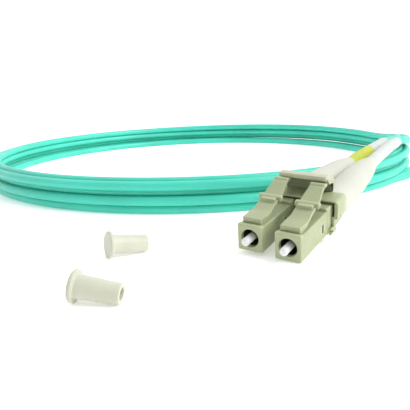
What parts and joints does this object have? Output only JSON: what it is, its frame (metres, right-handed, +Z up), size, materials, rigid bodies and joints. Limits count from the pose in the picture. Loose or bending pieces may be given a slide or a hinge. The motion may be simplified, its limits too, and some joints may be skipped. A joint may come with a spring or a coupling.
{
  "type": "fiber optic patch cord",
  "caption": "Duplex fiber optic patch cord with a latched two-plug connector, strain-relief boots and dust caps at each end, wound in a flat round coil.",
  "frame": {"origin": "bottom centre of the box round the two connectors and the dust caps, on the surface the cord lies on", "axes": "+Z up; +Y from the noses of end A towards its boots; +X to the right of end A seen from above with its noses towards the viewer"},
  "size_m": [0.1757, 0.1906, 0.0111],
  "materials": {
    "plug_body": "satin moulded olive-beige",
    "clip": "satin moulded olive-beige",
    "trigger": "satin moulded pale beige",
    "ferrule": "polished white zirconia",
    "metal": "plated steel, hidden inside",
    "white_boot": "soft off-white",
    "marker": "soft yellow sleeve",
    "dust_cap": "slightly milky off-white",
    "cord_jacket": "satin aqua jacket"
  },
  "bodies": {
    "cord_body": {"housing_a1": "plug_body", "spring_a1": "metal", "rear_body_a1": "plug_body", "crimp_sleeve_a1": "metal", "boot_a1": "white_boot", "leg_sleeve_a1": "white_boot", "housing_a2": "plug_body", "spring_a2": "metal", "rear_body_a2": "plug_body", "crimp_sleeve_a2": "metal", "boot_a2": "white_boot", "leg_sleeve_a2": "white_boot", "housing_b1": "plug_body", "spring_b1": "metal", "rear_body_b1": "plug_body", "crimp_sleeve_b1": "metal", "boot_b1": "white_boot", "leg_sleeve_b1": "white_boot", "housing_b2": "plug_body", "spring_b2": "metal", "rear_body_b2": "plug_body", "crimp_sleeve_b2": "metal", "boot_b2": "white_boot", "leg_sleeve_b2": "white_boot", "clip_a": "clip", "marker_sleeve_a1": "marker", "clip_b": "clip", "marker_sleeve_b1": "marker", "lead_a1": "cord_jacket", "lead_a2": "cord_jacket", "lead_b1": "cord_jacket", "lead_b2": "cord_jacket", "cord_coil": "cord_jacket"},
    "trigger_a": {"trigger_a": "trigger"},
    "trigger_b": {"trigger_b": "trigger"},
    "latch_a1": {"latch_a1": "plug_body"},
    "ferrule_a1": {"ferrule_a1": "ferrule", "ferrule_holder_a1": "metal"},
    "dust_cap_a1": {"dust_cap_a1": "dust_cap"},
    "latch_a2": {"latch_a2": "plug_body"},
    "ferrule_a2": {"ferrule_a2": "ferrule", "ferrule_holder_a2": "metal"},
    "dust_cap_a2": {"dust_cap_a2": "dust_cap"},
    "latch_b1": {"latch_b1": "plug_body"},
    "ferrule_b1": {"ferrule_b1": "ferrule", "ferrule_holder_b1": "metal"},
    "dust_cap_b1": {"dust_cap_b1": "dust_cap"},
    "latch_b2": {"latch_b2": "plug_body"},
    "ferrule_b2": {"ferrule_b2": "ferrule", "ferrule_holder_b2": "metal"},
    "dust_cap_b2": {"dust_cap_b2": "dust_cap"}
  },
  "joints": [
    {"name": "trigger_a_press", "type": "hinge", "parent": "cord_body", "child": "trigger_a", "pos_m": [-0.01592, -0.05318, 0.00816], "axis": [0.999, 0.0063, -0.0432], "range_deg": [0, 14], "stiffness_Nm_per_rad": 0.06},
    {"name": "trigger_b_press", "type": "hinge", "parent": "cord_body", "child": "trigger_b", "pos_m": [0.02444, 0.07477, 0.00603], "axis": [-0.866, 0.5, 0], "range_deg": [0, 14], "stiffness_Nm_per_rad": 0.06},
    {"name": "latch_a1_flex", "type": "hinge", "parent": "cord_body", "child": "latch_a1", "pos_m": [-0.01908, -0.06756, 0.00529], "axis": [0.999, 0.0063, -0.0432], "range_deg": [-6.3, 0]},
    {"name": "ferrule_a1_push", "type": "slide", "parent": "cord_body", "child": "ferrule_a1", "axis": [0, 0.9895, 0.1444], "range_m": [0, 0.001], "stiffness_N_per_m": 600},
    {"name": "dust_cap_a1_lift", "type": "slide", "parent": "cord_body", "child": "dust_cap_a1", "axis": [0, 0, 1], "range_m": [0, 0.03]},
    {"name": "latch_a2_flex", "type": "hinge", "parent": "cord_body", "child": "latch_a2", "pos_m": [-0.01285, -0.06775, 0.00485], "axis": [0.999, 0.0063, -0.0432], "range_deg": [-6.3, 0]},
    {"name": "ferrule_a2_push", "type": "slide", "parent": "cord_body", "child": "ferrule_a2", "axis": [0, 0.9895, 0.1444], "range_m": [0, 0.001], "stiffness_N_per_m": 600},
    {"name": "dust_cap_a2_lift", "type": "slide", "parent": "cord_body", "child": "dust_cap_a2", "axis": [0, 0, 1], "range_m": [0, 0.03]},
    {"name": "latch_b1_flex", "type": "hinge", "parent": "cord_body", "child": "latch_b1", "pos_m": [0.03446, 0.08587, 0.00483], "axis": [-0.866, 0.5, 0], "range_deg": [-6.3, 0]},
    {"name": "ferrule_b1_push", "type": "slide", "parent": "cord_body", "child": "ferrule_b1", "axis": [-0.4999, -0.8658, 0.0209], "range_m": [0, 0.001], "stiffness_N_per_m": 600},
    {"name": "dust_cap_b1_pull", "type": "slide", "parent": "cord_body", "child": "dust_cap_b1", "axis": [0.4999, 0.8658, -0.0209], "range_m": [0, 0.012]},
    {"name": "latch_b2_flex", "type": "hinge", "parent": "cord_body", "child": "latch_b2", "pos_m": [0.02905, 0.089, 0.00483], "axis": [-0.866, 0.5, 0], "range_deg": [-6.3, 0]},
    {"name": "ferrule_b2_push", "type": "slide", "parent": "cord_body", "child": "ferrule_b2", "axis": [-0.4999, -0.8658, 0.0209], "range_m": [0, 0.001], "stiffness_N_per_m": 600},
    {"name": "dust_cap_b2_pull", "type": "slide", "parent": "cord_body", "child": "dust_cap_b2", "axis": [0.4999, 0.8658, -0.0209], "range_m": [0, 0.012]}
  ],
  "couplings": [
    {"joint": "latch_a1_flex", "follows": "trigger_a_press", "ratio": -0.45},
    {"joint": "latch_a2_flex", "follows": "trigger_a_press", "ratio": -0.45},
    {"joint": "latch_b1_flex", "follows": "trigger_b_press", "ratio": -0.45},
    {"joint": "latch_b2_flex", "follows": "trigger_b_press", "ratio": -0.45}
  ]
}
